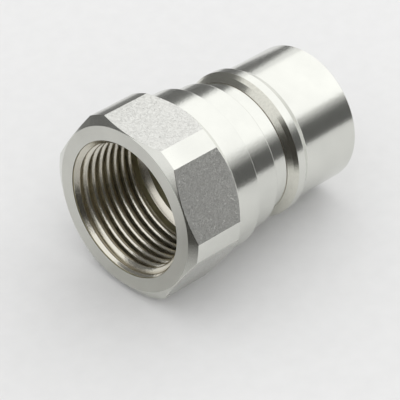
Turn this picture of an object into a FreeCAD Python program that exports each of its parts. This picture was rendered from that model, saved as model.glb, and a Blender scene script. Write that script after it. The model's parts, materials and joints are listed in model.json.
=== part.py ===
import FreeCAD, Part
import math
import os

# Female-threaded nipple of a hydraulic quick coupling, with its poppet valve inside.
# Lengths are millimetres and angles are degrees. Each piece is modelled along +X, from the
# port face to the nose, and is then laid down as the nipple rests on a table: on the rear
# edge of one hexagon flat and on the rim of the nose.

# Hexagon: heights and chamfers are measured along the radius
hex_across_flats = 41.0
hex_corner_height = 1.85
hex_length = 16.9
hex_rear_chamfer_angle = 45.0
port_chamfer_height = 2.1
port_chamfer_angle = 60.0

# Turned outside, from the hexagon to the nose
collar_height = 1.65
collar_length = 6.6
shank_length = 7.5
locking_groove_depth = 1.8
locking_groove_length = 5.1
ramp_steep_height = 1.15
ramp_steep_angle = 50.0
ramp_easy_angle = 32.0
locking_ring_height = 1.2
locking_ring_length = 2.2
ring_chamfer_angle = 32.0
nose_diameter = 33.9
nose_length = 16.8
nose_edge = 0.6
edge_break = 0.3

# Port: a parallel pipe thread of one inch, given by its minor diameter, with flat crests and roots.
# Its helix starts below the axis, in front of the port face by the lead-in.
thread_diameter = 30.29
thread_pitch = 2.309
thread_flank_angle = 55.0
thread_flat = 0.385
thread_lead_in = 3.05
thread_depth = 17.2
thread_clearance = 0.12
relief_length = 3.1
relief_cone_angle = 59.0

# Valve bore behind the port, a little under the thread so that the guide passes it, and the nose's seat
insert_bore_diameter = 30.2
insert_bore_length = 7.3
guide_seat_width = 2.3
valve_seat_width = 2.4
valve_seat_angle = 45.0
throat_length = 8.0
throat_edge = 0.8

# Guide: a disc with windows, and a hub for the poppet's stem
guide_thickness = 3.0
guide_play = 0.05
guide_arms = 3
guide_arm_width = 3.2
hub_wall = 1.6
spring_ledge = 1.6

# Poppet
stem_diameter = 6.0
stem_play = 0.05
stem_recess = 3.4
poppet_travel = 6.5
stop_gap = 0.1
head_gap = 1.4
head_thickness = 2.6
lip_gap = 0.4
lip_thickness = 1.0
lip_cone_angle = 60.0
tip_diameter = 9.0
tip_recess = 1.8
tip_edge = 0.5

# Poppet seal: a ring of round section
seal_section = 2.2
seal_contact_height = 0.6
seal_gap = 0.05
seal_play = 0.03

# Valve spring
spring_mean_diameter = 19.2
spring_wire = 1.8
spring_turns = 5.0

# Internal retaining ring
clip_thickness = 1.2
clip_groove_depth = 0.7
clip_play = 0.03
clip_side_play = 0.05
clip_width = 3.5
clip_taper = 0.8
clip_gap = 1.6
clip_ear_radius = 2.5
clip_ear_margin = 0.3
clip_hole_diameter = 2.0


# Radii that follow from the sizes above
def run_for(height, angle):
    """Length along the axis of a cone that climbs a height at an angle to the axis."""
    return height / math.tan(math.radians(angle))


hex_apothem = hex_across_flats / 2
corner_r = hex_apothem + hex_corner_height
port_face_r = corner_r - port_chamfer_height
nose_r = nose_diameter / 2
ring_r = nose_r + locking_ring_height
shank_r = ring_r
groove_r = ring_r - locking_groove_depth
knee_r = groove_r + ramp_steep_height
collar_r = shank_r + collar_height

thread_r = thread_diameter / 2
flank_slope = math.tan(math.radians(thread_flank_angle / 2))
thread_root_r = thread_r + (thread_pitch / 2 - thread_flat) / flank_slope
mouth_r = thread_root_r + thread_clearance
relief_r = thread_root_r + thread_clearance
insert_r = insert_bore_diameter / 2
chamber_r = insert_r - guide_seat_width
throat_r = chamber_r - valve_seat_width

stem_r = stem_diameter / 2
hub_bore_r = stem_r + stem_play
hub_r = hub_bore_r + hub_wall
head_r = chamber_r - head_gap
lip_r = throat_r - lip_gap
tip_r = tip_diameter / 2
seal_r = seal_section / 2
spring_mean_r = spring_mean_diameter / 2
spring_wire_r = spring_wire / 2
window_r = spring_mean_r + spring_wire_r - spring_ledge
clip_groove_r = insert_r + clip_groove_depth

# Stations along the axis, from the port face
x_port_corner = run_for(port_chamfer_height, port_chamfer_angle)
x_hex_corner = hex_length - run_for(corner_r - collar_r, hex_rear_chamfer_angle)
x_flat_end = hex_length - run_for(hex_apothem - collar_r, hex_rear_chamfer_angle)
x_collar_end = hex_length + collar_length
x_shank_end = x_collar_end + shank_length
x_groove_end = x_shank_end + locking_groove_length
x_knee = x_groove_end + run_for(ramp_steep_height, ramp_steep_angle)
x_ring = x_knee + run_for(ring_r - knee_r, ramp_easy_angle)
x_ring_end = x_ring + locking_ring_length
x_nose = x_ring_end + run_for(locking_ring_height, ring_chamfer_angle)
x_tip = x_nose + nose_length

x_relief = thread_depth + relief_r - thread_r
x_shoulder = thread_depth + relief_length
x_insert = x_shoulder + run_for(relief_r - insert_r, relief_cone_angle)
x_guide_seat = x_shoulder + insert_bore_length
x_guide_face = x_guide_seat - guide_thickness
x_clip_face = x_guide_face - clip_thickness
x_throat = x_tip - throat_length
x_seat = x_throat - run_for(valve_seat_width, valve_seat_angle)

# The seal's centre stands off the seat, square to the cone
seat_rad = math.radians(valve_seat_angle)
seal_stand_off = seal_r + seal_gap
x_seal_contact = x_throat - run_for(seal_contact_height, valve_seat_angle)
x_seal = x_seal_contact - seal_stand_off * math.sin(seat_rad)
seal_centre_r = throat_r + seal_contact_height - seal_stand_off * math.cos(seat_rad)
seal_floor_r = seal_centre_r - seal_r - seal_play
x_head_front = x_seal - seal_r - seal_play
x_lip = x_seal + seal_r + seal_play
x_head_back = x_head_front - head_thickness
x_hub_end = x_head_back - poppet_travel - stop_gap

AXIS_START = FreeCAD.Vector(0, 0, 0)
AXIS = FreeCAD.Vector(1, 0, 0)
FULL_TURN = 360.0
QUARTERS = 4
QUARTER_TURN = FULL_TURN / QUARTERS


def turned(points, spline_lines=()):
    """Solid turned about the axis from a closed outline of (station, radius) points.

    A line that starts at a point in spline_lines is drawn as a spline, so that flats cut across
    its cone meet it in spline edges, which measure more reliably than hyperbolas.
    """
    corners = [FreeCAD.Vector(x, 0, r) for x, r in points]
    edges = []
    for point, start, end in zip(points, corners, corners[1:] + corners[:1]):
        line = Part.LineSegment(start, end)
        if point in spline_lines:
            line = line.toBSpline()
        edges.append(line.toShape())
    return Part.Face(Part.Wire(edges)).revolve(AXIS_START, AXIS, FULL_TURN)


def rod(radius, start, end):
    """Plain cylinder on the axis between two stations."""
    return Part.makeCylinder(radius, end - start, FreeCAD.Vector(start, 0, 0), AXIS)


def quartered_rod(radius, start, end):
    """Plain cylinder on the axis between two stations, as four sectors."""
    sectors = []
    for quarter in range(QUARTERS):
        sector = Part.makeCylinder(radius, end - start, FreeCAD.Vector(start, 0, 0), AXIS, QUARTER_TURN)
        sector.rotate(AXIS_START, AXIS, quarter * QUARTER_TURN)
        sectors.append(sector)
    return sectors


def wound(section, radius, pitch, start, end):
    """Solid swept by a section on a helix about the axis, between two stations.

    The helix is made of equal pieces of up to a quarter turn, since short swept faces cut more
    reliably than one face of many turns.
    """
    turns = (end - start) / pitch
    pieces = math.ceil(turns * QUARTERS)
    rise = (end - start) / pieces
    helix = []
    for number in range(pieces):
        piece = Part.makeHelix(pitch, rise, radius)
        piece.rotate(AXIS_START, FreeCAD.Vector(0, 0, 1), number * turns / pieces * FULL_TURN)
        piece.translate(FreeCAD.Vector(0, 0, number * rise))
        helix += piece.Edges
    solid = Part.Wire(helix).makePipeShell([section], True, True)
    solid.rotate(AXIS_START, FreeCAD.Vector(0, 1, 0), QUARTER_TURN)
    solid.translate(FreeCAD.Vector(start, 0, 0))
    return solid


def hex_prism(apothem, start, end):
    """Hexagonal bar on the axis with one flat facing straight down."""
    circumradius = apothem / math.cos(math.pi / 6)
    corners = []
    for corner in range(6):
        angle = corner * math.pi / 3
        y = circumradius * math.cos(angle)
        z = circumradius * math.sin(angle)
        corners.append(FreeCAD.Vector(start, y, z))
    outline = Part.makePolygon(corners + corners[:1])
    return Part.Face(outline).extrude(AXIS * (end - start))


def make_thread_groove():
    """Groove of the port thread, from in front of the port face into the run-out relief."""
    inner_r = thread_r - thread_clearance
    half_root = thread_flat / 2
    half_mouth = half_root + (thread_root_r - inner_r) * flank_slope
    corners = [
        FreeCAD.Vector(inner_r, 0, -half_mouth),
        FreeCAD.Vector(thread_root_r, 0, -half_root),
        FreeCAD.Vector(thread_root_r, 0, half_root),
        FreeCAD.Vector(inner_r, 0, half_mouth),
    ]
    section = Part.makePolygon(corners + corners[:1])
    x_groove_stop = x_shoulder - half_mouth - thread_clearance
    return wound(section, thread_root_r, thread_pitch, -thread_lead_in, x_groove_stop)


def make_nipple_body():
    """One turned piece: hexagon and port at one end, locking groove and nose at the other."""
    port_chamfer = (0, port_face_r)
    rear_chamfer = (x_hex_corner, corner_r)
    outside = [
        port_chamfer,
        (x_port_corner, corner_r),
        rear_chamfer,
        (hex_length, collar_r),
        (x_collar_end - edge_break, collar_r),
        (x_collar_end, collar_r - edge_break),
        (x_collar_end, shank_r),
        (x_shank_end - edge_break, shank_r),
        (x_shank_end, shank_r - edge_break),
        (x_shank_end, groove_r),
        (x_groove_end, groove_r),
        (x_knee, knee_r),
        (x_ring, ring_r),
        (x_ring_end, ring_r),
        (x_nose, nose_r),
        (x_tip - nose_edge, nose_r),
        (x_tip, nose_r - nose_edge),
    ]
    inside = [
        (x_tip, throat_r + throat_edge),
        (x_tip - throat_edge, throat_r),
        (x_throat, throat_r),
        (x_seat, chamber_r),
        (x_guide_seat, chamber_r),
        (x_guide_seat, insert_r),
        (x_guide_face + clip_side_play, insert_r),
        (x_guide_face + clip_side_play, clip_groove_r),
        (x_clip_face - clip_side_play, clip_groove_r),
        (x_clip_face - clip_side_play, insert_r),
        (x_insert, insert_r),
        (x_shoulder, relief_r),
        (x_relief, relief_r),
        (thread_depth, thread_r),
        (thread_depth, 0),
        (0, 0),
    ]
    blank = turned(outside + inside, spline_lines=(port_chamfer, rear_chamfer))
    around_flats = rod(2 * corner_r, 0, hex_length).cut(hex_prism(hex_apothem, 0, hex_length))
    # Drilled in quarters, which leaves short faces on the crests between the thread's turns
    drilled = blank.cut(around_flats).cut(quartered_rod(thread_r, 0, thread_depth))
    countersink = Part.makeCone(mouth_r, 0, mouth_r, AXIS_START, AXIS)
    return drilled.cut(make_thread_groove()).cut(countersink)


def make_valve_guide():
    """Disc with flow windows between its arms, and a long hub that guides the stem."""
    disc = rod(insert_r - guide_play, x_guide_face, x_guide_seat)
    window = rod(window_r, x_guide_face, x_guide_seat).cut(rod(hub_r, x_guide_face, x_guide_seat))
    for arm in range(guide_arms):
        bar = Part.makeBox(guide_thickness, guide_arm_width, insert_r)
        bar.translate(FreeCAD.Vector(x_guide_face, -guide_arm_width / 2, 0))
        bar.rotate(AXIS_START, AXIS, arm * FULL_TURN / guide_arms)
        window = window.cut(bar)
    hub = rod(hub_r, x_guide_face, x_hub_end)
    stem_hole = rod(hub_bore_r, x_guide_face, x_hub_end)
    return disc.cut(window).fuse(hub).cut(stem_hole).removeSplitter()


def make_valve_poppet():
    """Turned valve: stem, spring seat, seal groove, front lip and push tip."""
    x_stem = x_guide_face + stem_recess
    x_lip_edge = x_lip + lip_thickness
    x_tip_root = x_lip_edge + run_for(lip_r - tip_r, lip_cone_angle)
    x_tip_end = x_tip - tip_recess
    return turned([
        (x_stem, 0),
        (x_stem, stem_r - tip_edge),
        (x_stem + tip_edge, stem_r),
        (x_head_back, stem_r),
        (x_head_back, head_r),
        (x_head_front, head_r),
        (x_head_front, seal_floor_r),
        (x_lip, seal_floor_r),
        (x_lip, lip_r),
        (x_lip_edge, lip_r),
        (x_tip_root, tip_r),
        (x_tip_end - tip_edge, tip_r),
        (x_tip_end, tip_r - tip_edge),
        (x_tip_end, 0),
    ])


def make_poppet_seal():
    """Rubber ring of round section in the poppet's groove."""
    return Part.makeTorus(seal_centre_r, seal_r, FreeCAD.Vector(x_seal, 0, 0), AXIS)


def make_valve_spring():
    """Round wire on a helix, with both ends ground flat on their seats."""
    pitch = (x_head_back - x_guide_seat) / spring_turns
    start = FreeCAD.Vector(spring_mean_r, 0, 0)
    rise = FreeCAD.Vector(0, math.tau * spring_mean_r, pitch)
    section = Part.Wire(Part.makeCircle(spring_wire_r, start, rise))
    wire = wound(section, spring_mean_r, pitch, x_guide_seat - spring_wire, x_head_back + spring_wire)
    return wire.common(rod(chamber_r, x_guide_seat, x_head_back))


def make_retaining_ring():
    """Internal spring ring that narrows towards its gap, with an eyed ear on each side."""
    outer_r = clip_groove_r - clip_play
    inner_r = outer_r - clip_width + clip_taper
    up = FreeCAD.Vector(0, 0, 1)
    hollow = rod(inner_r, x_clip_face, x_guide_face)
    hollow.translate(up * clip_taper)
    ring = rod(outer_r, x_clip_face, x_guide_face).cut(hollow)
    ear_centre_r = insert_r - clip_ear_radius - clip_ear_margin
    ear_angle = math.degrees(math.asin((clip_gap / 2 + clip_ear_radius) / ear_centre_r))
    for side in (-1, 1):
        ear = rod(clip_ear_radius, x_clip_face, x_guide_face)
        eye = rod(clip_hole_diameter / 2, x_clip_face, x_guide_face)
        for piece in (ear, eye):
            piece.translate(up * ear_centre_r)
            piece.rotate(AXIS_START, AXIS, side * ear_angle)
        ring = ring.fuse(ear).cut(eye)
    gap = Part.makeBox(clip_thickness, clip_gap, outer_r)
    gap.translate(FreeCAD.Vector(x_clip_face, -clip_gap / 2, 0))
    return ring.cut(gap).removeSplitter()


def resting_placement():
    """Tip the axis nose down until the nose rim and the hexagon or a collar touch the table."""
    x_rim = x_tip - nose_edge
    supports = [(x_flat_end, hex_apothem), (x_collar_end - edge_break, collar_r), (x_ring_end, ring_r)]
    tilt = max(math.atan((r - nose_r) / (x_rim - x)) for x, r in supports)
    lift = x_rim * math.sin(tilt) + nose_r * math.cos(tilt)
    x_low = -port_face_r * math.sin(tilt)
    x_high = x_tip * math.cos(tilt) + (nose_r - nose_edge) * math.sin(tilt)
    nose_down = FreeCAD.Rotation(FreeCAD.Vector(0, 1, 0), math.degrees(tilt))
    return FreeCAD.Placement(FreeCAD.Vector(-(x_low + x_high) / 2, 0, lift), nose_down)


pieces = {
    "nipple_body": make_nipple_body(),
    "valve_guide": make_valve_guide(),
    "valve_poppet": make_valve_poppet(),
    "poppet_seal": make_poppet_seal(),
    "valve_spring": make_valve_spring(),
    "retaining_ring": make_retaining_ring(),
}
os.makedirs("parts", exist_ok=True)
placement = resting_placement()
for name, shape in pieces.items():
    shape.Placement = placement.multiply(shape.Placement)
    shape.exportStep(f"parts/{name}.step")
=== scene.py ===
import json
import math

import bmesh
import bpy
from mathutils import Matrix, Vector


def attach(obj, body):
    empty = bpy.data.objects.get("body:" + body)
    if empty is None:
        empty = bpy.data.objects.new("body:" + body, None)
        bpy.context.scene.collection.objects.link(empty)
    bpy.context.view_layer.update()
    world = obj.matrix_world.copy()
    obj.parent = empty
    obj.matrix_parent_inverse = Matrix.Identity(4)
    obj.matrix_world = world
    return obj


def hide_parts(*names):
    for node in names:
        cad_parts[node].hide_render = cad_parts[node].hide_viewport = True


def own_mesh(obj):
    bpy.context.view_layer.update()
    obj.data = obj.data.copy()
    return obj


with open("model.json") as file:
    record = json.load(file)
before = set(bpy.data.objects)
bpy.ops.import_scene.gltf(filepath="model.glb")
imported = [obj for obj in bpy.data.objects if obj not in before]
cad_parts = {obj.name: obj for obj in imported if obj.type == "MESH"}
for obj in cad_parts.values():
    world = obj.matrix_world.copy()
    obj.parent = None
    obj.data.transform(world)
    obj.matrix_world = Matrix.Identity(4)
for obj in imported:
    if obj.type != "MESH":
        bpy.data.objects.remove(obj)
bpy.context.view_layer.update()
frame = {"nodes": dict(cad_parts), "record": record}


# Nipple body
# One bar of free-cutting steel, turned all over: threaded port and hexagon at one end, collar,
# shank, locking groove, locking ring and sealing nose towards the other. The six spanner flats are
# milled and blasted matte, and each corner keeps a narrow turned band between them.
mm = 0.001
mounts = {mount["name"]: mount for mount in frame["record"]["mounts"]}
nose_way = Vector(mounts["coupling_nose"]["axis"])
nose_middle = Vector(mounts["coupling_nose"]["pos_m"])
port_point = Vector(mounts["port_face"]["pos_m"])
port_centre = nose_middle + nose_way * (port_point - nose_middle).dot(nose_way)

# Meshes are made with the axis along X from the port's face, and laid where the nipple lies
side_way = Vector((0, 1, 0))
up_way = nose_way.cross(side_way)
laid = Matrix((
    (nose_way.x, side_way.x, up_way.x, port_centre.x),
    (nose_way.y, side_way.y, up_way.y, port_centre.y),
    (nose_way.z, side_way.z, up_way.z, port_centre.z),
    (0, 0, 0, 1),
))

flat_apothem = 20.5 * mm
corner_r = 22.35 * mm
port_face_r = 20.25 * mm
hex_length = 16.9 * mm
port_chamfer_angle = math.radians(60)
rear_chamfer_angle = math.radians(45)
collar_r = 19.8 * mm
collar_end = 23.5 * mm
shank_r = 18.15 * mm
shank_end = 31.0 * mm
groove_r = 16.35 * mm
groove_end = 36.1 * mm
knee_r = 17.5 * mm
knee_angle = math.radians(50)
ramp_angle = math.radians(32)
ring_width = 2.2 * mm
nose_r = mounts["coupling_nose"]["dims"]["r_mm"] * mm
nose_length = 16.8 * mm
nose_edge = 0.6 * mm
edge_break = 0.3 * mm
soft_edge = 0.15 * mm
fine_edge = 0.04 * mm
root_line = 0.3 * mm

thread_r = mounts["thread_port"]["dims"]["r_mm"] * mm
thread_pitch = 2.309 * mm
thread_flank_angle = math.radians(55)
thread_flat = 0.385 * mm
thread_clearance = 0.12 * mm
thread_depth = 17.2 * mm
mouth_step = 0.4 * mm
mouth_edge = 0.05 * mm
relief_length = 3.1 * mm
relief_cone_angle = math.radians(54)
insert_r = 15.1 * mm
guide_seat = 27.6 * mm
guide_face = 24.6 * mm
clip_face = 23.4 * mm
clip_groove_r = 15.8 * mm
clip_side_play = 0.05 * mm
chamber_r = 12.8 * mm
throat_r = 10.4 * mm
throat_length = 8.0 * mm
throat_edge = 0.8 * mm

knee_place = groove_end + (knee_r - groove_r) / math.tan(knee_angle)
ring_place = knee_place + (shank_r - knee_r) / math.tan(ramp_angle)
ring_end = ring_place + ring_width
nose_place = ring_end + (shank_r - nose_r) / math.tan(ramp_angle)
tip_place = nose_place + nose_length
throat_place = tip_place - throat_length
seat_place = throat_place - (chamber_r - throat_r)
flank_slope = math.tan(thread_flank_angle / 2)
thread_root_r = thread_r + (thread_pitch / 2 - thread_flat) / flank_slope
mouth_r = thread_root_r + thread_clearance
relief_r = thread_root_r + thread_clearance
relief_place = thread_depth + relief_r - thread_r
shoulder_place = thread_depth + relief_length
insert_place = shoulder_place + (relief_r - insert_r) / math.tan(relief_cone_angle)

# A corner's arc has one point more than it has steps, and a guard point at either end
arc_steps = 3
guard_points = 2
points_a_corner = arc_steps + 1 + guard_points
corner_guard = 0.06 * mm
corner_share = 0.3


def rounded(corners):
    """Closed outline of (station, radius, rounding) corners as points, each rounded by an arc.

    A guard point stands on either side of each arc, so that smooth shading stays at the edge.
    """
    points = []
    for index, (station, radius, rounding, *_) in enumerate(corners):
        corner = Vector((station, radius))
        if not rounding:
            points.append(corner)
            continue
        back = Vector(corners[index - 1][:2]) - corner
        ahead = Vector(corners[(index + 1) % len(corners)][:2]) - corner
        half = back.angle(ahead) / 2
        room_back = corner_share * back.length
        room_ahead = corner_share * ahead.length
        reach = min(rounding / math.tan(half), room_back, room_ahead)
        guard_back = min(corner_guard, room_back / 2)
        guard_ahead = min(corner_guard, room_ahead / 2)
        back.normalize()
        ahead.normalize()
        centre = corner + (back + ahead).normalized() * reach / math.cos(half)
        start = corner + back * reach - centre
        end = corner + ahead * reach - centre
        points.append(corner + back * (reach + guard_back))
        sweep = start.angle(end)
        for step in range(arc_steps + 1):
            turned_by = sweep * step / arc_steps
            spoke = start * math.sin(sweep - turned_by) + end * math.sin(turned_by)
            points.append(centre + spoke / math.sin(sweep))
        points.append(corner + ahead * (reach + guard_ahead))
    return points


def stretch_finishes(corners, half_corner=points_a_corner // 2):
    """Finish of each row of a rounded outline, which changes in the middle of a corner."""
    finishes = []
    finish_before = corners[-1][-1]
    for _, _, rounding, finish in corners:
        if rounding:
            finishes += [finish_before] * half_corner + [finish] * half_corner
        else:
            finishes.append(finish)
        finish_before = finish
    return finishes


merge_distance = 0.0005 * mm


def turned_mesh(name, outline_at, angles, finishes_at=None, seam_row=None):
    """Mesh turned about the axis from a closed outline, which may change with the angle.

    The first UV coordinate is the distance along the outline, for marks that run round the piece.
    """
    mesh = bmesh.new()
    distance = mesh.loops.layers.uv.new("turning")
    columns = []
    for angle in angles:
        side = math.cos(angle)
        up = math.sin(angle)
        places = [(station, radius * side, radius * up) for station, radius in outline_at(angle)]
        columns.append([mesh.verts.new(place) for place in places])
    outline = outline_at(angles[0])
    along = [0.0]
    for start, end in zip(outline, outline[1:] + outline[:1]):
        along.append(along[-1] + (end - start).length)
    rows = len(outline)
    for column, near in enumerate(columns):
        far = columns[(column + 1) % len(columns)]
        far_angle = angles[column + 1] if column + 1 < len(angles) else angles[0] + math.tau
        finishes = finishes_at((angles[column] + far_angle) / 2) if finishes_at else [0] * rows
        at_seam = seam_row and column == len(columns) - 1
        for row in range(rows):
            after = (row + 1) % rows
            far_row = seam_row(row) if at_seam else row
            far_after = seam_row(after) if at_seam else after
            corners = [near[row], near[after]]
            marks = [along[row], along[row + 1]]
            if far_after != far_row:
                corners += [far[far_after], far[far_row]]
                marks += [along[row + 1], along[row]]
            else:
                corners += [far[far_row]]
                marks += [along[row]]
            face = mesh.faces.new(corners)
            face.smooth = True
            face.material_index = finishes[row]
            for loop, mark in zip(face.loops, marks):
                loop[distance].uv = (mark, 0)
    bmesh.ops.remove_doubles(mesh, verts=mesh.verts, dist=merge_distance)
    bmesh.ops.recalc_face_normals(mesh, faces=mesh.faces)
    result = bpy.data.meshes.new(name)
    mesh.to_mesh(result)
    mesh.free()
    return result


# The columns stand close together beside each corner band, where a flat begins
flat_count = 6
sector = math.tau / flat_count
flat_edge = math.acos(flat_apothem / corner_r)
flat_columns = 14
edge_guard = math.radians(0.3)
flat_guard = math.radians(1.0)
band_column = (flat_edge + sector / 2) / 2
body_angles = []
for flat in range(flat_count):
    flat_middle = flat * sector + sector / 2
    flat_span = flat_edge - flat_guard
    offsets = [-band_column, -flat_edge - edge_guard, -flat_edge, -flat_edge + edge_guard]
    offsets += [flat_span * (2 * step / flat_columns - 1) for step in range(flat_columns + 1)]
    offsets += [flat_edge - edge_guard, flat_edge, flat_edge + edge_guard, band_column, sector / 2]
    body_angles += [flat_middle + offset for offset in offsets]

# Rows of the threaded length climb with the thread, so that crests and roots fall on rows
rows_a_pitch = 20
row_step = thread_pitch / rows_a_pitch
thread_rows = math.ceil((relief_place + thread_pitch) / row_step) + 1
mouth_rows = points_a_corner


def thread_row_points(angle):
    """Plain bore with its run-out cone and countersink, from the relief to the port face's step."""
    climb = thread_pitch * angle / math.tau
    points = []
    for row in range(thread_rows):
        station = (thread_rows - 1 - row) * row_step - thread_pitch + climb
        station = min(max(station, mouth_step), relief_place)
        countersink_r = mouth_r + mouth_step - station
        radius = max(thread_r, countersink_r, relief_r + station - relief_place)
        points.append(Vector((station, radius)))
    return points


# Finishes of the body, in the order of its materials
finish_count = 8
TURNED, FACED, MILLED, OILED, BORED, CONED, RAMPED, PAINTED_SHADE = range(finish_count)


def body_corners(angle):
    """Corners of the nipple at one angle, round the outside to the nose and back through the bore.

    Each corner has its rounding, and the finish of the stretch that starts there.
    """
    from_flat = (angle % sector) - sector / 2
    rim = min(flat_apothem / math.cos(from_flat), corner_r)
    chamfer_end = (rim - port_face_r) / math.tan(port_chamfer_angle)
    hex_end = hex_length - (rim - collar_r) / math.tan(rear_chamfer_angle)
    rim_finish = MILLED if abs(from_flat) < flat_edge else TURNED
    return [
        (0, port_face_r, soft_edge, TURNED),
        (chamfer_end, rim, soft_edge, rim_finish),
        (hex_end, rim, soft_edge, TURNED),
        (hex_length, collar_r, soft_edge, TURNED),
        (collar_end, collar_r, soft_edge, TURNED),
        (collar_end, shank_r, soft_edge, TURNED),
        (shank_end, shank_r, edge_break, TURNED),
        (shank_end, groove_r, edge_break, TURNED),
        # The notch at the groove's root is painted dark: painted shade in the crease
        (groove_end - root_line, groove_r, fine_edge, PAINTED_SHADE),
        (groove_end - root_line / 2, groove_r - root_line / 2, fine_edge, PAINTED_SHADE),
        (groove_end, groove_r, fine_edge, RAMPED),
        (knee_place, knee_r, fine_edge, RAMPED),
        (ring_place, shank_r, soft_edge, TURNED),
        (ring_end, shank_r, soft_edge, TURNED),
        (nose_place, nose_r, edge_break, TURNED),
        (tip_place - nose_edge, nose_r, soft_edge, TURNED),
        (tip_place, nose_r - nose_edge, soft_edge, FACED),
        (tip_place, throat_r + throat_edge, soft_edge, TURNED),
        (tip_place - throat_edge, throat_r, soft_edge, TURNED),
        (throat_place, throat_r, soft_edge, OILED),
        (seat_place, chamber_r, soft_edge, OILED),
        (guide_seat, chamber_r, soft_edge, OILED),
        (guide_seat, insert_r, soft_edge, BORED),
        (guide_face + clip_side_play, insert_r, soft_edge, BORED),
        (guide_face + clip_side_play, clip_groove_r, soft_edge, BORED),
        (clip_face - clip_side_play, clip_groove_r, soft_edge, BORED),
        (clip_face - clip_side_play, insert_r, soft_edge, BORED),
        (insert_place, insert_r, soft_edge, CONED),
        (shoulder_place, relief_r, edge_break, OILED),
        (relief_place, relief_r, 0, OILED),
        # The step at the port's mouth is painted dark: painted shade in the crease
        (mouth_step, mouth_r, 0, PAINTED_SHADE),
        (0, mouth_r, mouth_edge, FACED),
    ]


# The threaded length's rows stand in for the two unrounded corners at its ends
thread_corners = 2


def body_outline(angle):
    """Points of the nipple's outline at one angle, with the rows of the threaded length."""
    points = rounded(body_corners(angle))
    return points[:-mouth_rows - thread_corners] + thread_row_points(angle) + points[-mouth_rows:]


def body_finishes(angle):
    """Finish of each row of the nipple's outline at one angle."""
    finishes = stretch_finishes(body_corners(angle))
    return finishes[:-mouth_rows - thread_corners] + [OILED] * thread_rows + finishes[-mouth_rows:]


body_rows = len(body_outline(0))
first_thread_row = body_rows - thread_rows - mouth_rows


def thread_seam(row):
    """Row that a row runs into after one turn: a thread row comes out one pitch further on."""
    if row < first_thread_row or row >= first_thread_row + thread_rows:
        return row
    return max(row - rows_a_pitch, first_thread_row)


def add_object(name, data):
    """New object in the scene, with its mesh, lamp or lens."""
    piece = bpy.data.objects.new(name, data)
    bpy.context.scene.collection.objects.link(piece)
    return piece


def new_material(name, metallic):
    """Node material with its shader, ready for the finish that a piece gets."""
    material = bpy.data.materials.new(name)
    material.use_nodes = True
    shader = material.node_tree.nodes["Principled BSDF"]
    shader.inputs["Metallic"].default_value = metallic
    return material, shader


def add_node(tree, kind, links=(), **inputs):
    """New node with inputs set by name, where _ stands for a space, and linked from other sockets."""
    node = tree.nodes.new(kind)
    for name, value in inputs.items():
        node.inputs[name.replace("_", " ")].default_value = value
    for socket, source in dict(links).items():
        tree.links.new(source, node.inputs[socket])
    return node


noise_detail = 3.0

# Most of a noise lies in this middle range
noise_low = 0.3
noise_high = 0.7


def blend_colours(tree, factor, dark, light, low=noise_low, high=noise_high):
    """Colour that goes from dark to light as a factor goes from low to high."""
    ramp = tree.nodes.new("ShaderNodeValToRGB")
    ramp.color_ramp.elements[0].position = low
    ramp.color_ramp.elements[0].color = (*dark, 1)
    ramp.color_ramp.elements[1].position = high
    ramp.color_ramp.elements[1].color = (*light, 1)
    tree.links.new(factor, ramp.inputs["Fac"])
    return ramp.outputs["Color"]


def spread(tree, factor, start, end, low=noise_low, high=noise_high):
    """Value that goes from start to end as a factor goes from low to high."""
    node = add_node(tree, "ShaderNodeMapRange", {"Value": factor})
    node.inputs["From Min"].default_value = low
    node.inputs["From Max"].default_value = high
    node.inputs["To Min"].default_value = start
    node.inputs["To Max"].default_value = end
    return node.outputs["Result"]


def turning_marks(tree, lines_a_mm):
    """Noise that changes only along the outline, as the feed of a turning tool leaves it."""
    uv = add_node(tree, "ShaderNodeUVMap")
    uv.uv_map = "turning"
    parts = add_node(tree, "ShaderNodeSeparateXYZ", {"Vector": uv.outputs["UV"]})
    marks = add_node(tree, "ShaderNodeTexNoise", Scale=lines_a_mm / mm, Detail=noise_detail)
    marks.noise_dimensions = "1D"
    tree.links.new(parts.outputs["X"], marks.inputs["W"])
    return marks.outputs["Fac"]


def cloud(tree, size):
    """Noise in the piece's own space, with patches of about a size."""
    place = add_node(tree, "ShaderNodeTexCoord").outputs["Object"]
    noise = add_node(tree, "ShaderNodeTexNoise", {"Vector": place}, Scale=1 / size, Detail=noise_detail)
    return noise.outputs["Fac"]


def add_bump(tree, shader, height, depth, strength, over=None):
    """Bump on a shader from a height, with a depth in metres, over another bump if there is one."""
    bump = add_node(tree, "ShaderNodeBump", {"Height": height}, Strength=strength, Distance=depth)
    if over:
        tree.links.new(over.outputs["Normal"], bump.inputs["Normal"])
    tree.links.new(bump.outputs["Normal"], shader.inputs["Normal"])
    return bump


feed_lines_a_mm = 7.0
feed_depth = 0.004 * mm
feed_strength = 0.35
mottle_size = 0.7 * mm
mottle_depth = 0.02 * mm
mottle_strength = 0.5
wide_patch = 9 * mm
small_patch = 0.5 * mm


def turned_finish(name, dark, light, smooth, rough, patch=wide_patch):
    """Bright turned metal: fine rings from the tool, with a slight change of tone in patches."""
    material, shader = new_material(name, metallic=1.0)
    tree = material.node_tree
    marks = turning_marks(tree, feed_lines_a_mm)
    patches = cloud(tree, patch)
    tree.links.new(blend_colours(tree, patches, dark, light), shader.inputs["Base Color"])
    tree.links.new(spread(tree, marks, smooth, rough), shader.inputs["Roughness"])
    rings = add_bump(tree, shader, marks, feed_depth, feed_strength)
    add_bump(tree, shader, cloud(tree, mottle_size), mottle_depth, mottle_strength, over=rings)
    return material


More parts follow.
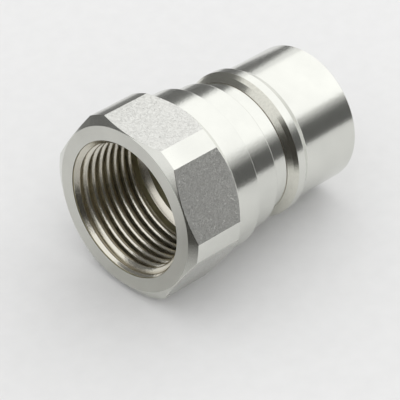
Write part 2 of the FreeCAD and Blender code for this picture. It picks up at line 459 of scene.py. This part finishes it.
def lean_facets(tree, shader, grain, lean):
    """Fine facets on a shader, each leaning its own way. The result is their random colour."""
    place = add_node(tree, "ShaderNodeTexCoord").outputs["Object"]
    facets = add_node(tree, "ShaderNodeTexVoronoi", {"Vector": place}, Scale=1 / grain)
    facing = add_node(tree, "ShaderNodeNewGeometry").outputs["Normal"]
    leaning = add_node(tree, "ShaderNodeVectorMath", {0: facets.outputs["Color"], 2: facing})
    leaning.operation = "MULTIPLY_ADD"
    leaning.inputs[1].default_value = (lean, lean, lean)
    centred = add_node(tree, "ShaderNodeVectorMath", {0: leaning.outputs["Vector"]})
    centred.operation = "SUBTRACT"
    centred.inputs[1].default_value = (lean / 2, lean / 2, lean / 2)
    facet_way = add_node(tree, "ShaderNodeVectorMath", {0: centred.outputs["Vector"]})
    facet_way.operation = "NORMALIZE"
    tree.links.new(facet_way.outputs["Vector"], shader.inputs["Normal"])
    return facets.outputs["Color"]


def blasted_finish(name, dark, light, smooth, rough, grain=0.25 * mm, lean=0.1):
    """Metal blasted with grit: fine leaning facets, each a little lighter or darker."""
    material, shader = new_material(name, metallic=1.0)
    tree = material.node_tree
    facet_colour = lean_facets(tree, shader, grain, lean)
    tone = add_node(tree, "ShaderNodeSeparateXYZ", {"Vector": facet_colour}).outputs["X"]
    base = blend_colours(tree, tone, dark, light, low=0, high=1)
    tree.links.new(base, shader.inputs["Base Color"])
    tree.links.new(spread(tree, tone, rough, smooth), shader.inputs["Roughness"])
    return material


turned_steel = turned_finish(
    "turned_steel", dark=(0.67, 0.675, 0.635), light=(0.73, 0.735, 0.69), smooth=0.15, rough=0.2)
faced_steel = turned_finish(
    "faced_steel", dark=(0.58, 0.58, 0.54), light=(0.63, 0.63, 0.585), smooth=0.28, rough=0.36)
milled_steel = blasted_finish(
    "milled_steel", dark=(0.62, 0.62, 0.59), light=(0.7, 0.7, 0.67), smooth=0.34, rough=0.4,
    grain=0.2 * mm, lean=0.25)
oiled_steel = turned_finish(
    "oiled_steel", dark=(0.66, 0.63, 0.44), light=(0.75, 0.71, 0.5), smooth=0.45, rough=0.55)
bored_steel = turned_finish(
    "bored_steel", dark=(0.56, 0.54, 0.42), light=(0.66, 0.63, 0.5), smooth=0.48, rough=0.6)
coned_steel = turned_finish(
    "coned_steel", dark=(0.73, 0.7, 0.61), light=(0.79, 0.76, 0.67), smooth=0.18, rough=0.26)
ramped_steel = turned_finish(
    "ramped_steel", dark=(0.64, 0.635, 0.57), light=(0.71, 0.705, 0.635), smooth=0.16, rough=0.24,
    patch=small_patch)
# Dark steel for the groove's root notch and the port's mouth step: painted shade
painted_shade_steel = turned_finish(
    "painted_shade_steel", dark=(0.22, 0.2, 0.16), light=(0.32, 0.29, 0.24), smooth=0.35, rough=0.45,
    patch=small_patch)
body_steels = (
    turned_steel, faced_steel, milled_steel, oiled_steel,
    bored_steel, coned_steel, ramped_steel, painted_shade_steel,
)
body_mesh = turned_mesh("steel_body", body_outline, body_angles, body_finishes, thread_seam)
for steel in body_steels:
    body_mesh.materials.append(steel)
body = add_object("steel_body", body_mesh)


# Port thread
# Parallel pipe thread of one inch, cut in the port of the same steel: flanks at 55 degrees with
# rounded crests and roots, ending in the run-out relief. Its roots are painted brown: painted shade.
thread_lead_in = 3.05 * mm
crest_rounding = 0.85 * mm
root_rounding = 0.35 * mm
first_root = thread_pitch / 4 - thread_lead_in
crest_colour = (0.77, 0.74, 0.65)
crest_roughness = 0.17
# Brown of the roots: painted shade in the hollows of the thread
painted_root_shade = (0.5, 0.44, 0.31)
root_roughness = 0.32
root_shade_from = 0.4
root_shade_to = 1.0
thread_grain = 0.15 * mm
thread_lean = 0.08
thread_sizes = {
    "Pitch": thread_pitch,
    "Root radius": thread_root_r,
    "Crest radius": thread_r,
    "Root flat": thread_flat,
    "Flank slope": flank_slope,
    "Crest rounding": crest_rounding,
    "Root rounding": root_rounding,
    "First root": first_root,
    "Mouth radius": mouth_r,
    "Mouth step": mouth_step,
    "Run-out end": relief_place,
}


def new_rule(name, sizes):
    """Empty Geometry Nodes tree with an input for each size and for the finish, and its inputs."""
    tree = bpy.data.node_groups.new(name, "GeometryNodeTree")
    tree.interface.new_socket("Geometry", in_out="INPUT", socket_type="NodeSocketGeometry")
    for size_name in sizes:
        tree.interface.new_socket(size_name, in_out="INPUT", socket_type="NodeSocketFloat")
    tree.interface.new_socket("Finish", in_out="INPUT", socket_type="NodeSocketMaterial")
    tree.interface.new_socket("Geometry", in_out="OUTPUT", socket_type="NodeSocketGeometry")
    return tree, tree.nodes.new("NodeGroupInput").outputs


def calculate(tree, operation, *values):
    """Result of a Math node whose inputs are numbers or sockets."""
    node = tree.nodes.new("ShaderNodeMath")
    node.operation = operation
    for index, value in enumerate(values):
        if isinstance(value, bpy.types.NodeSocket):
            tree.links.new(value, node.inputs[index])
        else:
            node.inputs[index].default_value = value
    return node.outputs["Value"]


def end_rule(tree, geometry, finish, **where):
    """End a tree with its geometry made real and given its finish, all over or where it is chosen."""
    realized = add_node(tree, "GeometryNodeRealizeInstances", {"Geometry": geometry})
    finished = add_node(tree, "GeometryNodeSetMaterial", {
        "Geometry": realized.outputs["Geometry"], "Material": finish, **where})
    result = tree.nodes.new("NodeGroupOutput")
    tree.links.new(finished.outputs["Geometry"], result.inputs["Geometry"])


def keep_result(piece, modifier):
    """Make a modifier's result the plain mesh of its piece."""
    graph = bpy.context.evaluated_depsgraph_get()
    finished = bpy.data.meshes.new_from_object(piece.evaluated_get(graph))
    piece.modifiers.remove(modifier)
    piece.data = finished


def apply_rule(piece, tree, sizes, finish):
    """Run a tree on a piece with its inputs set by identifier, and keep the result."""
    modifier = piece.modifiers.new(tree.name, "NODES")
    modifier.node_group = tree
    values = {**sizes, "Finish": finish}
    for socket in tree.interface.items_tree:
        if socket.name in values:
            modifier[socket.identifier] = values[socket.name]
    keep_result(piece, modifier)


# Distance from the nearest root, after the helix is unwound, gives the radius of the thread
tree, sizes = new_rule("cut_thread", thread_sizes)
position = add_node(tree, "GeometryNodeInputPosition").outputs["Position"]
across = add_node(tree, "ShaderNodeSeparateXYZ", {"Vector": position}).outputs
side_square = calculate(tree, "MULTIPLY", across["Y"], across["Y"])
up_square = calculate(tree, "MULTIPLY", across["Z"], across["Z"])
wall_r = calculate(tree, "SQRT", calculate(tree, "ADD", side_square, up_square))
turned_by = calculate(tree, "ARCTAN2", across["Z"], across["Y"])
turn_share = calculate(tree, "DIVIDE", turned_by, math.tau)
climb = calculate(tree, "MULTIPLY", turn_share, sizes["Pitch"])
unwound = calculate(tree, "SUBTRACT", across["X"], climb)
half_pitch = calculate(tree, "DIVIDE", sizes["Pitch"], 2)
past_root = calculate(tree, "SUBTRACT", unwound, sizes["First root"])
from_root = calculate(tree, "PINGPONG", past_root, half_pitch)
half_flat = calculate(tree, "DIVIDE", sizes["Root flat"], 2)
down_flank = calculate(tree, "SUBTRACT", from_root, half_flat)
flank_rise = calculate(tree, "DIVIDE", down_flank, sizes["Flank slope"])
flank_r = calculate(tree, "SUBTRACT", sizes["Root radius"], flank_rise)
rooted_r = calculate(tree, "SMOOTH_MIN", flank_r, sizes["Root radius"], sizes["Root rounding"])
profile_r = calculate(tree, "SMOOTH_MAX", rooted_r, sizes["Crest radius"], sizes["Crest rounding"])
cut_r = calculate(tree, "MAXIMUM", wall_r, profile_r)
growth = calculate(tree, "DIVIDE", cut_r, wall_r)
cut_place = add_node(tree, "ShaderNodeCombineXYZ", {
    "X": across["X"],
    "Y": calculate(tree, "MULTIPLY", across["Y"], growth),
    "Z": calculate(tree, "MULTIPLY", across["Z"], growth),
}).outputs["Vector"]

# Only the bore is cut, and the share of the full depth that is cut at each point is kept
step_r = calculate(tree, "ADD", sizes["Mouth radius"], soft_edge)
before_step = calculate(tree, "LESS_THAN", wall_r, step_r)
cut_end = calculate(tree, "ADD", sizes["Run-out end"], row_step / 2)
before_end = calculate(tree, "LESS_THAN", across["X"], cut_end)
in_bore = calculate(tree, "MULTIPLY", before_step, before_end)
past_step = calculate(tree, "GREATER_THAN", across["X"], sizes["Mouth step"])
thread_height = calculate(tree, "SUBTRACT", sizes["Root radius"], sizes["Crest radius"])
cut_depth = calculate(tree, "SUBTRACT", profile_r, sizes["Crest radius"])
depth_share = calculate(tree, "DIVIDE", cut_depth, thread_height)
below_wall = calculate(tree, "LESS_THAN", wall_r, profile_r)
cut_share = calculate(tree, "MULTIPLY", depth_share, below_wall)
marked = add_node(tree, "GeometryNodeStoreNamedAttribute", {
    "Geometry": sizes["Geometry"], "Value": cut_share}, Name="cut_share")
cut = add_node(tree, "GeometryNodeSetPosition", {
    "Geometry": marked.outputs["Geometry"], "Selection": in_bore, "Position": cut_place})
oiled = calculate(tree, "MULTIPLY", in_bore, past_step)
end_rule(tree, cut.outputs["Geometry"], sizes["Finish"], Selection=oiled)

thread_steel, thread_shader = new_material("thread_steel", metallic=1.0)
thread_tree = thread_steel.node_tree
depth_mark = add_node(thread_tree, "ShaderNodeAttribute")
depth_mark.attribute_name = "cut_share"
depth = depth_mark.outputs["Fac"]
# The colour goes to brown with the depth of the cut: painted shade in the thread's roots
root_shade_colour = blend_colours(thread_tree, depth, crest_colour, painted_root_shade, root_shade_from, root_shade_to)
thread_tree.links.new(root_shade_colour, thread_shader.inputs["Base Color"])
dulling = spread(thread_tree, depth, crest_roughness, root_roughness, root_shade_from, root_shade_to)
thread_tree.links.new(dulling, thread_shader.inputs["Roughness"])
lean_facets(thread_tree, thread_shader, thread_grain, thread_lean)

apply_rule(body, tree, thread_sizes, thread_steel)
body.data.transform(laid)
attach(body, "nipple")
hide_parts("nipple_body")


# Valve guide
# Steel disc with three flow windows and a long hub, pressed against its seat in the bore.
# Turned from bar, its windows milled; it carries the poppet's stem and one end of the spring.
guide_edge = 0.12 * mm
joined_angle = math.radians(1)
edge_angle = math.radians(40)
edge_arc_steps = 2
sharp_angle = math.radians(20)
square_on = 0.999


def edged_copy(name, node_name, edge, finish):
    """Copy of a CAD node with joined faces, smooth walls, flat ends and its sharp edges rounded."""
    mesh = bmesh.new()
    mesh.from_mesh(frame["nodes"][node_name].data)
    bmesh.ops.remove_doubles(mesh, verts=mesh.verts, dist=merge_distance)
    bmesh.ops.dissolve_limit(mesh, angle_limit=joined_angle, verts=mesh.verts, edges=mesh.edges)
    for face in mesh.faces:
        face.smooth = True
    joined = bpy.data.meshes.new(name)
    mesh.to_mesh(joined)
    mesh.free()
    piece = add_object(name, joined)
    bevel = piece.modifiers.new("edges", "BEVEL")
    bevel.width = edge
    bevel.segments = edge_arc_steps
    bevel.limit_method = "ANGLE"
    bevel.angle_limit = edge_angle
    keep_result(piece, bevel)
    piece.data.set_sharp_from_angle(angle=sharp_angle)
    for face in piece.data.polygons:
        face.use_smooth = abs(face.normal.dot(nose_way)) < square_on
    piece.data.materials.clear()
    piece.data.materials.append(finish)
    return piece


guide_steel = blasted_finish(
    "guide_steel", dark=(0.48, 0.48, 0.47), light=(0.6, 0.6, 0.59), smooth=0.3, rough=0.42)
guide = edged_copy("windowed_guide", "valve_guide", guide_edge, guide_steel)
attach(guide, "nipple")
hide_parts("valve_guide")


# Retaining ring
# Internal spring ring stamped from hardened strip and oiled, with an eye in each ear for the
# pliers. It snaps into the groove in front of the guide.
ring_edge = 0.1 * mm
oiled_strip = blasted_finish(
    "oiled_strip", dark=(0.4, 0.38, 0.27), light=(0.54, 0.51, 0.38), smooth=0.3, rough=0.44)
ring = edged_copy("spring_ring", "retaining_ring", ring_edge, oiled_strip)
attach(ring, "nipple")
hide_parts("retaining_ring")


# Valve poppet
# Turned steel valve: a stem that slides in the guide, a spring seat, a groove for the seal, a front
# lip and the tip that the other half of the coupling pushes. It slides along the nipple's axis.
stem_r = 3.0 * mm
stem_start = 28.0 * mm
head_r = 11.4 * mm
head_thickness = 2.6 * mm
seal_section_r = 1.1 * mm
seal_play = 0.03 * mm
seal_gap = 0.05 * mm
seal_contact = 0.6 * mm
seat_angle = math.radians(45)
lip_r = 10.0 * mm
lip_thickness = 1.0 * mm
lip_angle = math.radians(60)
tip_r = 4.5 * mm
tip_recess = 1.8 * mm
tip_edge = 0.5 * mm

seal_stand_off = (seal_section_r + seal_gap) * math.sin(seat_angle)
seal_place = throat_place - seal_contact - seal_stand_off
seal_centre_r = throat_r + seal_contact - seal_stand_off
seal_floor_r = seal_centre_r - seal_section_r - seal_play
head_front = seal_place - seal_section_r - seal_play
head_back = head_front - head_thickness
lip_place = seal_place + seal_section_r + seal_play
lip_end = lip_place + lip_thickness
tip_root = lip_end + (lip_r - tip_r) / math.tan(lip_angle)
tip_end = tip_place - tip_recess

poppet_corners = [
    (stem_start, 0, 0),
    (stem_start, stem_r - tip_edge, soft_edge),
    (stem_start + tip_edge, stem_r, soft_edge),
    (head_back, stem_r, soft_edge),
    (head_back, head_r, soft_edge),
    (head_front, head_r, soft_edge),
    (head_front, seal_floor_r, soft_edge),
    (lip_place, seal_floor_r, soft_edge),
    (lip_place, lip_r, soft_edge),
    (lip_end, lip_r, soft_edge),
    (tip_root, tip_r, edge_break),
    (tip_end - tip_edge, tip_r, soft_edge),
    (tip_end, tip_r - tip_edge, soft_edge),
    (tip_end, 0, 0),
]
round_columns = 128
even_angles = [math.tau * column / round_columns for column in range(round_columns)]
poppet_points = rounded(poppet_corners)
poppet_mesh = turned_mesh("push_poppet", lambda angle: poppet_points, even_angles)
poppet = add_object("push_poppet", poppet_mesh)
poppet_steel = turned_finish(
    "poppet_steel", dark=(0.6, 0.6, 0.59), light=(0.68, 0.68, 0.67), smooth=0.18, rough=0.28)
poppet.data.materials.append(poppet_steel)
poppet.data.transform(laid)
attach(poppet, "poppet")
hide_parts("valve_poppet")


# Poppet seal
# Moulded rubber ring of round section, stretched into the poppet's groove, with a faint bloom
# on its black and a fine grain from the mould.
rubber_black = (0.012, 0.012, 0.013)
bloomed_black = (0.035, 0.034, 0.033)
bloom_size = 1.5 * mm
bloom_low = 0.35
bloom_high = 0.75
clean_roughness = 0.42
bloomed_roughness = 0.6
mould_grain = 0.25 * mm
mould_depth = 0.01 * mm
mould_strength = 0.3
section_steps = 32
seal_points = []
for step in range(section_steps):
    around = math.tau * step / section_steps
    seal_points.append(Vector((
        seal_place + seal_section_r * math.cos(around),
        seal_centre_r + seal_section_r * math.sin(around),
    )))
seal_mesh = turned_mesh("rubber_ring", lambda angle: seal_points, even_angles)
seal = add_object("rubber_ring", seal_mesh)
seal_rubber, rubber_shader = new_material("seal_rubber", metallic=0.0)
rubber_tree = seal_rubber.node_tree
bloom = cloud(rubber_tree, bloom_size)
bloom_colour = blend_colours(rubber_tree, bloom, rubber_black, bloomed_black, bloom_low, bloom_high)
rubber_tree.links.new(bloom_colour, rubber_shader.inputs["Base Color"])
bloom_dulling = spread(rubber_tree, bloom, clean_roughness, bloomed_roughness)
rubber_tree.links.new(bloom_dulling, rubber_shader.inputs["Roughness"])
add_bump(rubber_tree, rubber_shader, cloud(rubber_tree, mould_grain), mould_depth, mould_strength)
seal.data.materials.append(seal_rubber)
seal.data.transform(laid)
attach(seal, "poppet")
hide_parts("poppet_seal")


# Valve spring
# Compression spring wound from drawn spring wire, its ends ground flat on the guide and on the
# poppet's head. It is carried with the nipple's body and keeps its length.
spring_mean_r = 9.6 * mm
wire_r = 0.9 * mm
spring_turns = 5.0
spring_length = head_back - guide_seat
spring_pitch = spring_length / spring_turns
spring_over = 2 * wire_r
wound_length = spring_length + 2 * spring_over
steps_a_turn = 48
wire_steps = 16
wire_dark = (0.36, 0.36, 0.37)
wire_light = (0.5, 0.5, 0.51)
wire_smooth = 0.24
wire_rough = 0.38
drawn_patch = 0.5 * mm
drawn_depth = 0.01 * mm
drawn_strength = 0.3
spring_sizes = {
    "Mean radius": spring_mean_r,
    "Wire radius": wire_r,
    "Turns": wound_length / spring_pitch,
    "Length": wound_length,
}

tree, sizes = new_rule("wind_spring", spring_sizes)
coil = add_node(tree, "GeometryNodeCurveSpiral", {
    "Rotations": sizes["Turns"],
    "Start Radius": sizes["Mean radius"],
    "End Radius": sizes["Mean radius"],
    "Height": sizes["Length"],
}, Resolution=steps_a_turn)
section = add_node(tree, "GeometryNodeCurvePrimitiveCircle", {
    "Radius": sizes["Wire radius"]}, Resolution=wire_steps)
wire = add_node(tree, "GeometryNodeCurveToMesh", {
    "Curve": coil.outputs["Curve"], "Profile Curve": section.outputs["Curve"]}, Fill_Caps=True)
smooth_wire = add_node(tree, "GeometryNodeSetShadeSmooth", {"Geometry": wire.outputs["Mesh"]})
end_rule(tree, smooth_wire.outputs["Geometry"], sizes["Finish"])

spring_steel, wire_shader = new_material("spring_steel", metallic=1.0)
wire_tree = spring_steel.node_tree
drawing = cloud(wire_tree, drawn_patch)
wire_colour = blend_colours(wire_tree, drawing, wire_dark, wire_light)
wire_tree.links.new(wire_colour, wire_shader.inputs["Base Color"])
wire_dulling = spread(wire_tree, drawing, wire_smooth, wire_rough)
wire_tree.links.new(wire_dulling, wire_shader.inputs["Roughness"])
add_bump(wire_tree, wire_shader, drawing, drawn_depth, drawn_strength)

spring = add_object("wound_spring", bpy.data.meshes.new("wound_spring"))
apply_rule(spring, tree, spring_sizes, spring_steel)
along_axis = Matrix.Rotation(math.radians(90), 4, "Y")
spring.data.transform(Matrix.Translation((guide_seat - spring_over, 0, 0)) @ along_axis)

ground = bmesh.new()
ground.from_mesh(spring.data)
bmesh.ops.remove_doubles(ground, verts=ground.verts, dist=merge_distance)
for seat, outward in ((guide_seat, -1), (head_back, 1)):
    everything = ground.verts[:] + ground.edges[:] + ground.faces[:]
    bmesh.ops.bisect_plane(
        ground, geom=everything, plane_co=(seat, 0, 0), plane_no=(outward, 0, 0), clear_outer=True)
    open_edges = [edge for edge in ground.edges if edge.is_boundary]
    bmesh.ops.holes_fill(ground, edges=open_edges, sides=0)
bmesh.ops.recalc_face_normals(ground, faces=ground.faces)
ground.to_mesh(spring.data)
ground.free()
spring.data.transform(laid)
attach(spring, "nipple")
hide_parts("valve_spring")
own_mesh(spring)


# Table
# Pale matte sheet of card with a faint fibre, laid flat under the nipple and reaching far past it
# on all sides.
table_half = 3.0
card_dark = (0.745, 0.745, 0.743)
card_light = (0.765, 0.765, 0.763)
card_roughness = 0.75
card_shine = 0.2
fibre_size = 4 * mm
table_corners = [(-table_half, -table_half, 0), (table_half, -table_half, 0),
                 (table_half, table_half, 0), (-table_half, table_half, 0)]
table_mesh = bpy.data.meshes.new("table")
table_mesh.from_pydata(table_corners, [], [range(len(table_corners))])
table = add_object("table", table_mesh)
card, card_shader = new_material("pale_card", metallic=0.0)
card_shader.inputs["Roughness"].default_value = card_roughness
card_shader.inputs["Specular IOR Level"].default_value = card_shine
fibre = cloud(card.node_tree, fibre_size)
card_colour = blend_colours(card.node_tree, fibre, card_dark, card_light)
card.node_tree.links.new(card_colour, card_shader.inputs["Base Color"])
table_mesh.materials.append(card)


# Dark screens and painted shade
# Cloth laid from near the nipple and up tall frames round the table, open towards the soft box.
# Only the steel shows it, as the dark bands along its sides and on its cones, and its borders
# fade to pale. The cloth lying on the table is painted shade of the table, and in front of the
# port a painted shadow. The darkest cloth is on the near side.
panel_step = 2
cloth_lift = 0.002
near_distance = 0.3
far_distance = 0.8
# Where the cloth on the table starts: painted shade of the table, and before the port a painted shadow
near_painted_shade = 0.085
port_painted_shadow = 0.055
far_painted_shade = 0.13
painted_shade_fade = 0.05
top_fade = 10
# Tones of the screens, and of the painted shade that their cloth lays on the table
near_screen_and_shade = (0.04, 0.037, 0.032)
port_screen_and_shadow = (0.11, 0.105, 0.095)
side_cloth = (0.11, 0.11, 0.108)
far_screen_and_shade = (0.16, 0.16, 0.157)
pale_cloth = (0.8, 0.8, 0.79)
cloth_roughness = 0.9
screen_panels = (
    # first and last bearing and top elevation in degrees, where the painted shade starts, distance,
    # cloth
    (282, 324, 25.5, near_distance, near_distance, side_cloth),
    (212, 282, 49, near_painted_shade, near_distance, near_screen_and_shade),
    (196, 212, 27, port_painted_shadow, near_distance, near_screen_and_shade),
    (172, 196, 13, port_painted_shadow, near_distance, port_screen_and_shadow),
    (78, 146, 46, far_painted_shade, far_distance, far_screen_and_shade),
    (47, 78, 30, far_painted_shade, far_distance, far_screen_and_shade),
)


def screen_cloth(name, tone):
    """Matte cloth of a tone, fading to pale where the mesh has no shade. On the table it is painted
    shade.
    """
    cloth, shader = new_material(name, metallic=0.0)
    shade_mark = add_node(cloth.node_tree, "ShaderNodeAttribute")
    shade_mark.attribute_name = "shade"
    shade = shade_mark.outputs["Fac"]
    colour = blend_colours(cloth.node_tree, shade, pale_cloth, tone, low=0, high=1)
    cloth.node_tree.links.new(colour, shader.inputs["Base Color"])
    shader.inputs["Roughness"].default_value = cloth_roughness
    return cloth


for panel_number, (first, last, top_angle, shade_start, distance, tone) in enumerate(screen_panels):
    full_high = distance * math.tan(math.radians(top_angle - top_fade / 2))
    faded_high = distance * math.tan(math.radians(top_angle + top_fade / 2))
    cloth_rows = [(distance, cloth_lift, 1), (distance, full_high, 1), (distance, faded_high, 0)]
    # Cloth lying on the table: painted shade, seen only in the steel
    if shade_start < distance:
        painted_shade_rows = [(shade_start - painted_shade_fade / 2, cloth_lift, 0), (shade_start + painted_shade_fade / 2, cloth_lift, 1)]
        cloth_rows = painted_shade_rows + cloth_rows
    bearings = [*range(first, last, panel_step), last]
    panel_points = []
    shades = []
    for bearing in bearings:
        angle = math.radians(bearing)
        for reach, height, shade in cloth_rows:
            panel_points.append((reach * math.cos(angle), reach * math.sin(angle), height))
            shades.append(shade)
    panel_faces = []
    for post in range(len(bearings) - 1):
        for row in range(len(cloth_rows) - 1):
            corner = len(cloth_rows) * post + row
            opposite = corner + len(cloth_rows)
            panel_faces.append((corner, corner + 1, opposite + 1, opposite))
    panel_name = f"screen_{panel_number}"
    panel_mesh = bpy.data.meshes.new(panel_name)
    panel_mesh.from_pydata(panel_points, [], panel_faces)
    panel_mesh.attributes.new("shade", "FLOAT", "POINT").data.foreach_set("value", shades)
    panel_mesh.materials.append(screen_cloth(panel_name, tone))
    panel = add_object(panel_name, panel_mesh)
    panel.visible_camera = False
    panel.visible_diffuse = False
    panel.visible_shadow = False


# Light
# An even white room, and one large soft box above the nose that whitens the top of the nipple.
# The box is weak and large for its distance, so that its shadow on the table stays soft.
room_white = (1, 1, 1, 1)
room_strength = 1.04
soft_box_size = 1.3
soft_box_place = Vector((0.55, 0.03, 0.66))
soft_box_power = 1.7
room = bpy.data.worlds.new("room")
bpy.context.scene.world = room
room.use_nodes = True
walls = room.node_tree.nodes["Background"]
walls.inputs["Color"].default_value = room_white
walls.inputs["Strength"].default_value = room_strength
soft_box_light = bpy.data.lights.new("soft_box", "AREA")
soft_box_light.shape = "SQUARE"
soft_box_light.size = soft_box_size
soft_box_light.energy = soft_box_power
soft_box = add_object("soft_box", soft_box_light)
soft_box.location = soft_box_place
soft_box.rotation_euler = (-soft_box_place).to_track_quat("-Z", "Y").to_euler()


# Camera
# Long lens from above the port's left, at the photograph's angle. Its place, its way and its slight
# roll were worked out from the outline of the nipple.
camera_place = Vector((-0.3285, -0.3180, 0.3986))
camera_way = Vector((0.54165, 0.53237, -0.65053))
camera_roll = math.radians(0.45)
lens_length = 232.5
sensor_width = 36.0
camera_lens = bpy.data.cameras.new("camera")
camera_lens.lens = lens_length
camera_lens.sensor_width = sensor_width
camera = add_object("camera", camera_lens)
turn = camera_way.to_track_quat("-Z", "Y").to_matrix().to_4x4()
camera.matrix_world = Matrix.Translation(camera_place) @ turn @ Matrix.Rotation(camera_roll, 4, "Z")
bpy.context.scene.camera = camera
bpy.context.scene.view_settings.view_transform = "Standard"
